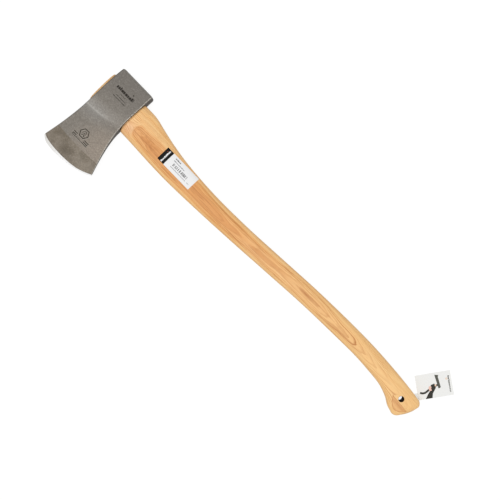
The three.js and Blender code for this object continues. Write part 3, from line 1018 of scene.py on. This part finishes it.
def grip_end_rings():
    """Rings that round the grip's end over, then close its face with a low crown."""
    back, belly, half_thickness = haft_station(1)
    along = (belly - back).normalized()
    outward = Vector((-along.y, along.x, 0))
    rings = []
    for inset, reach in quarter_turn(END_STEPS)[1:]:
        out = outward * END_DEPTH * reach
        first = back + along * END_INSET["back"] * inset + out
        second = belly - along * END_INSET["belly"] * inset + out
        half = half_thickness - END_INSET["face"] * inset
        rings.append(oval_ring(first, second, half, HAFT_EXPONENT))
    rim = rings[-1]
    centre = sum(rim, Vector()) / len(rim)
    for share in END_FACE_SHARES:
        crown = outward * END_CROWN * (1 - share**2)
        rings.append([lerp(centre, point, share) + crown for point in rim])
    return rings


def wedge_prism(clearance):
    """The wooden wedge, or with a clearance the kerf that it sits in."""
    is_kerf = clearance > 0
    head_x = TONGUE_X - 1 if is_kerf else TONGUE_X
    tip_x = KERF_DEPTH_X if is_kerf else WEDGE["tip_x"]
    half_width = WEDGE["half_width"] * (2 if is_kerf else 1)
    rings = []
    for y in (-half_width, half_width):
        head, tip = WEDGE["head"] / 2 + clearance, WEDGE["tip"] / 2 + clearance
        profile = ((head_x, -head), (tip_x, -tip), (tip_x, tip), (head_x, head))
        rings.append([Vector((x, y, MID_Z + z)) for x, z in profile])
    return loft(rings)


def annulus(clearance):
    """The steel ring, or with a clearance the groove that it is driven into."""
    start = TONGUE_X - 1 if clearance > 0 else RING["x"]
    end = RING["x"] + RING["length"] + clearance
    outer, inner = RING["outer"] + clearance, RING["inner"] - clearance
    if clearance > 0:
        profile = [(start, inner), (start, outer), (end, outer), (end, inner)]
    else:
        soft = RING["soft"]
        profile = [(start, inner + soft), (start, outer - soft), (start + soft, outer)]
        profile += [(end, outer), (end, inner), (start + soft, inner)]
    points = []
    for cosine, sine in circle(CIRCLE_SIDES):
        points += [Vector((x, reach * cosine, MID_Z + reach * sine)) for x, reach in profile]
    count = len(profile)
    faces = []
    for i in range(CIRCLE_SIDES):
        this, following = i * count, (i + 1) % CIRCLE_SIDES * count
        for j in range(count):
            k = (j + 1) % count
            faces.append((this + j, this + k, following + k, following + j))
    return points, faces


def hole_cutter():
    """A bore whose rims flare out in a small round at both faces."""
    half, soft = HOLE["half_depth"], HOLE["round"]
    levels = [(half + 3, HOLE["radius"] + 3 + soft)]
    for drop, out in quarter_turn(ROUND_STEPS):
        levels.append((half - soft * drop, HOLE["radius"] + soft * (1 - out)))
    levels += [(-z, reach) for z, reach in reversed(levels)]
    rings = []
    for z, reach in levels:
        ring = []
        for cosine, sine in circle(CIRCLE_SIDES):
            x, y = HOLE["x"] + reach * cosine, HOLE["y"] + reach * sine
            ring.append(Vector((x, y, MID_Z + z)))
        rings.append(ring)
    return loft(rings)


def make_haft():
    rings = tongue_rings()
    rings += [haft_ring(step / HAFT_STEPS) for step in range(HAFT_STEPS + 1)]
    haft = make_mesh("haft_fine", loft(rings + grip_end_rings()), [WOOD], HAFT_SHARP)
    kerf = make_mesh("kerf", wedge_prism(FIT), [WOOD])
    groove = make_mesh("groove", annulus(FIT), [WOOD])
    bore = make_mesh("bore", hole_cutter(), [BORE_SHADE_WOOD])
    cut(haft, HAFT_SHARP, kerf, groove, bore)
    return place(haft, "axe", "haft")


haft_height = height_finder(make_haft())

wooden_wedge = make_mesh("kerf_wedge_fine", wedge_prism(0), [WEDGE_WOOD])
cut(wooden_wedge, USUAL_SHARP, make_mesh("ring_space", annulus(FIT), [WEDGE_WOOD]))
place(wooden_wedge, "axe", "kerf_wedge")

steel_ring = make_mesh("ring_wedge_fine", annulus(0), [RING_STEEL], CURVED_SHARP)
place(steel_ring, "axe", "ring_wedge")

# ---- Label ----


def label_spot(u, v):
    x = lerp(LABEL["x0"], LABEL["x1"], u)
    y = lerp(LABEL["y0"], LABEL["y1"], v)
    return Vector((x, y, haft_height(x, y) + LABEL_FLOAT))


def bar_code(x0, x1, y0, y1, seed):
    """Upright bars of uneven width that stand for a bar code."""
    source = random.Random(seed)
    bars = []
    x = x0
    while x < x1:
        width = source.choice((0.3, 0.45, 0.8))
        bars.append(rectangle(x, x + width, y0, y1))
        x += width + source.choice((0.35, 0.5, 0.5, 0.9, 2.2))
    return bars


film = make_mesh("label_fine", sheet(96, 34, label_spot, LABEL_THICKNESS), [LABEL_FILM])
place(film, "axe", "product_label")

header = [rectangle(LABEL["x0"], LABEL_HEADER_X, LABEL["y0"], LABEL["y1"])]
header_mark = greeked_line(115.2, 139.4, -6.2, 2.9, 3, gaps=(0.04, 0.1))
body_print = greeked_line(144, 156.6, 3.4, 1.9, 12) + bar_code(147.6, 182, -9.2, -3.8, 6)
fine_print = greeked_line(144, 170, -1, 1.7, 13) + greeked_line(146.4, 183, -12.6, 1.3, 14)
fine_print += greeked_line(187, 191.6, -12.6, 1.3, 15)
label_marks = [
    ("label_header", header, LABEL_LIFT, LABEL_BLACK),
    ("label_header_mark", turned(header_mark, (128.1, -4.9), 90), HEADER_LIFT, LABEL_FILM),
    ("label_red_mark", [rectangle(123.6, 125.2, 1.6, 4)], HEADER_LIFT, LABEL_RED),
    ("label_print", body_print, LABEL_LIFT, LABEL_BLACK),
    ("label_fine_print", fine_print, LABEL_LIFT, LABEL_GREY),
]
place_decals("axe", haft_height, label_marks)

# ---- Hang tag and its tape ----

TAG = Matrix.Translation((*TAG_CENTRE, 0)) @ Matrix.Rotation(TAG_TURN, 4, "Z")
BACK_Z = TAG_BOTTOM_Z
FRONT_Z = TAG_BOTTOM_Z + LEAF_THICKNESS + LEAF_GAP
FOLD_X = -TAG_WIDTH / 2
FOLD_Z = BACK_Z + LEAF_THICKNESS + LEAF_GAP / 2


def cover_rise(x, y):
    """The cover stands up a little towards its free side and its far corner."""
    from_fold = (x - FOLD_X) / TAG_WIDTH
    along = y / TAG_LENGTH + 0.5
    return COVER_LIFT * max(0, from_fold) ** 2 * (0.55 + 0.45 * along)


def leaf(bottom_z, rise):
    """One side of the card. rise(x, y) is how far it stands up."""

    def spot(u, v):
        x = lerp(FOLD_X + FOLD_CLEARANCE, TAG_WIDTH / 2, u)
        y = lerp(-TAG_LENGTH / 2, TAG_LENGTH / 2, v)
        return TAG @ Vector((x, y, bottom_z + rise(x, y)))

    return sheet(22, 32, spot, LEAF_THICKNESS)


def fold_strip():
    """The card's rounded fold, from the lower leaf round the fold line to the upper one."""
    middle_radius = (LEAF_THICKNESS + LEAF_GAP) / 2
    rings = []
    for step in range(FOLD_STEPS + 1):
        if step in (0, FOLD_STEPS):
            normal = Vector((0, 0, 1 if step else -1))
            x, z = FOLD_X + FOLD_CLEARANCE, middle_radius * normal.z
        else:
            angle = math.radians(lerp(270, 90, (step - 1) / (FOLD_STEPS - 2)))
            normal = Vector((math.cos(angle), 0, math.sin(angle)))
            x, z = FOLD_X + middle_radius * normal.x, middle_radius * normal.z
        centre = Vector((x, 0, FOLD_Z + z))
        ring = []
        for side, y in ((-1, -1), (1, -1), (1, 1), (-1, 1)):
            point = centre + normal * side * LEAF_THICKNESS / 2
            ring.append(TAG @ (point + Vector((0, y * TAG_LENGTH / 2, 0))))
        rings.append(ring)
    return loft(rings)


back = make_mesh("tag_back_fine", leaf(BACK_Z, lambda x, y: 0), [CARD])
place(back, "axe", "tag_back_leaf")
cover = make_mesh("tag_cover_fine", leaf(FRONT_Z, cover_rise), [CARD])
place(cover, "tag_cover", "tag_front_leaf")

fold = make_mesh("tag_fold", fold_strip(), [CARD], HAFT_SHARP)
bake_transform(fold)


def on_tag(quads):
    """Quads in the tag's frame, moved to the row frame."""
    return [[(TAG @ Vector((*corner, 0))).to_2d() for corner in quad] for quad in quads]


def cover_bottom(x, y):
    local = TAG.inverted() @ Vector((x, y, 0))
    return FRONT_Z + cover_rise(local.x, local.y)


def cover_top(x, y):
    return cover_bottom(x, y) + LEAF_THICKNESS


def back_top(x, y):
    return BACK_Z + LEAF_THICKNESS


# Cover picture: an axe with a curved handle over a stump, with a pale spot and a chip
bends = [(9, -27.6), (10.6, -23.5), (10.4, -18.5), (7.2, -12.4), (3.8, -5), (1, 2.4), (-0.6, 8)]
handle = [smooth_curve(bends, step / 18) for step in range(19)]
axe_blade = [[(-15.4, 3.4), (6.8, 6.4), (5.2, 10.8), (-14.2, 8.6)]]
axe_blade += [[(-15.4, 3.4), (-14.2, 8.6), (-17.2, 10), (-18.6, 3)]]
stump_sides = [((21.8, -19.4), (21.8, -7)), ((14, -14), (14, -5))]
stump_sides += [((6, -7.4), (4.6, 2)), ((-1.6, -6.4), (-3.4, 0.4))]
stump = [[a, b, d, c] for (a, b), (c, d) in zip(stump_sides, stump_sides[1:])]
spot = strip([(0.6, -7.4), (3.6, -9), (8.6, -8.2)], 4.4)
chip = [rectangle(-1.4, 2, 0.6, 3.4)]
cover_words = moved(greeked_line(-15, 15, -1.7, 3.3, 21, gaps=(0.08, 0.12, 0.3)), 1.4, 27.4)
cover_mark = ring_strip((-8.4, 23.2), 1.3, 1.1, 20)
cover_marks = [
    ("tag_stump", stump, 0.03, CARD_DARK),
    ("tag_handle", strip(handle, 3.6), 0.05, CARD_DARK),
    ("tag_blade", axe_blade, 0.07, CARD_GREY),
    ("tag_spot", spot, 0.09, CARD_SALMON),
    ("tag_words", cover_words, 0.03, CARD_PRINT),
    ("tag_mark", cover_mark, 0.03, CARD_PEACH),
    ("tag_chip", chip, 0.09, CARD_PEACH),
]
cover_marks = [(name, on_tag(quads), lift, ink) for name, quads, lift, ink in cover_marks]
place_decals("tag_cover", cover_top, cover_marks)

# Inside: lines of small print on both leaves
back_lines, cover_lines = [], []
for line in range(9):
    y = 22 - 4.4 * line
    back_lines += greeked_line(-17, 17 - 3 * (line % 3), y, 1.5, 40 + line)
    cover_lines += greeked_line(-17, 15 - 4 * (line % 2), y, 1.5, 60 + line)
back_inside = [("tag_inside_back", on_tag(back_lines), 0.03, CARD_GREY)]
cover_inside = [("tag_inside_cover", on_tag(cover_lines), -0.03, CARD_GREY)]
place_decals("axe", back_top, back_inside)
place_decals("tag_cover", cover_bottom, cover_inside)


def tape_spot(u, v):
    """The strip follows the haft's underside, then bridges down to the tag."""
    near_edge = -TAG_LENGTH / 2
    across = TAPE["across"] + (u - 0.5) * TAPE["width"]
    along = lerp(TAPE["start"], TAPE["end"], v)
    held = TAG @ Vector((across, near_edge + min(along, TAPE["leaves"]), 0))
    haft_z = haft_height(held.x, held.y, from_above=False)
    share = min(max((along - TAPE["leaves"]) / (TAPE["meets"] - TAPE["leaves"]), 0), 1)
    z = lerp(haft_z, TAG_BOTTOM_Z, share * share * (3 - 2 * share)) - TAPE_GAP - TAPE_THICKNESS
    return TAG @ Vector((across, near_edge + along, z))


tape = make_mesh("tape_fine", sheet(8, 48, tape_spot, TAPE_THICKNESS), [TAPE_FILM])
place(tape, "axe", "tag_tape")

# ---- Stage ----

# In metres. The floor meets the head's rim at x = 37 mm and the tape at about x = 745 mm.
FLOOR = {"size": 6, "start_x": 0.037, "rise": 2.05 / 708, "glow": 0.89}
WORLD_STRENGTH = 0.66
SOFTBOX = {"spot": (0.15, -0.3, 2.1), "aim": (0.3, 0, 0), "size": (2.2, 1.8), "power": 22}
CAMERA = {"spot": (0.3503, -0.0137, 1.420), "turn": 46, "lens": 56.88, "sensor": 36}


def floor_finish():
    g = Graph("pale_floor")
    colour = g.mix(g.noise(0.01, 2), (0.16, 0.16, 0.16, 1), (0.14, 0.14, 0.14, 1))
    glow = {"Emission_Color": (1, 1, 1, 1), "Emission_Strength": FLOOR["glow"]}
    return g.finish(colour, 0.9, None, Specular_IOR_Level=0.1, **glow)


def make_floor():
    mesh = bpy.data.meshes.new("floor")
    ends = (-FLOOR["size"] / 2, FLOOR["size"] / 2)
    corners = [(x, y, (x - FLOOR["start_x"]) * FLOOR["rise"]) for x in ends for y in ends]
    mesh.from_pydata(corners, [], [(0, 2, 3, 1)])
    mesh.materials.append(floor_finish())
    floor = add_object("floor", mesh)
    floor.visible_diffuse = False
    floor.visible_glossy = False


def make_softbox():
    data = bpy.data.lights.new("softbox", "AREA")
    data.shape = "RECTANGLE"
    data.size, data.size_y = SOFTBOX["size"]
    data.energy = SOFTBOX["power"]
    light = add_object("softbox", data)
    light.location = SOFTBOX["spot"]
    way = Vector(SOFTBOX["aim"]) - Vector(SOFTBOX["spot"])
    light.rotation_euler = way.to_track_quat("-Z", "Y").to_euler()


def make_world():
    world = bpy.data.worlds.new("studio")
    world.use_nodes = True
    background = world.node_tree.nodes["Background"]
    background.inputs["Color"].default_value = (1, 1, 1, 1)
    background.inputs["Strength"].default_value = WORLD_STRENGTH
    bpy.context.scene.world = world


def make_camera():
    data = bpy.data.cameras.new("camera")
    data.sensor_width = CAMERA["sensor"]
    data.lens = CAMERA["lens"]
    camera = add_object("camera", data)
    camera.location = CAMERA["spot"]
    camera.rotation_euler = (0, 0, math.radians(CAMERA["turn"]))
    bpy.context.scene.camera = camera


make_floor()
make_world()
make_softbox()
make_camera()
bpy.context.scene.view_settings.view_transform = "Standard"
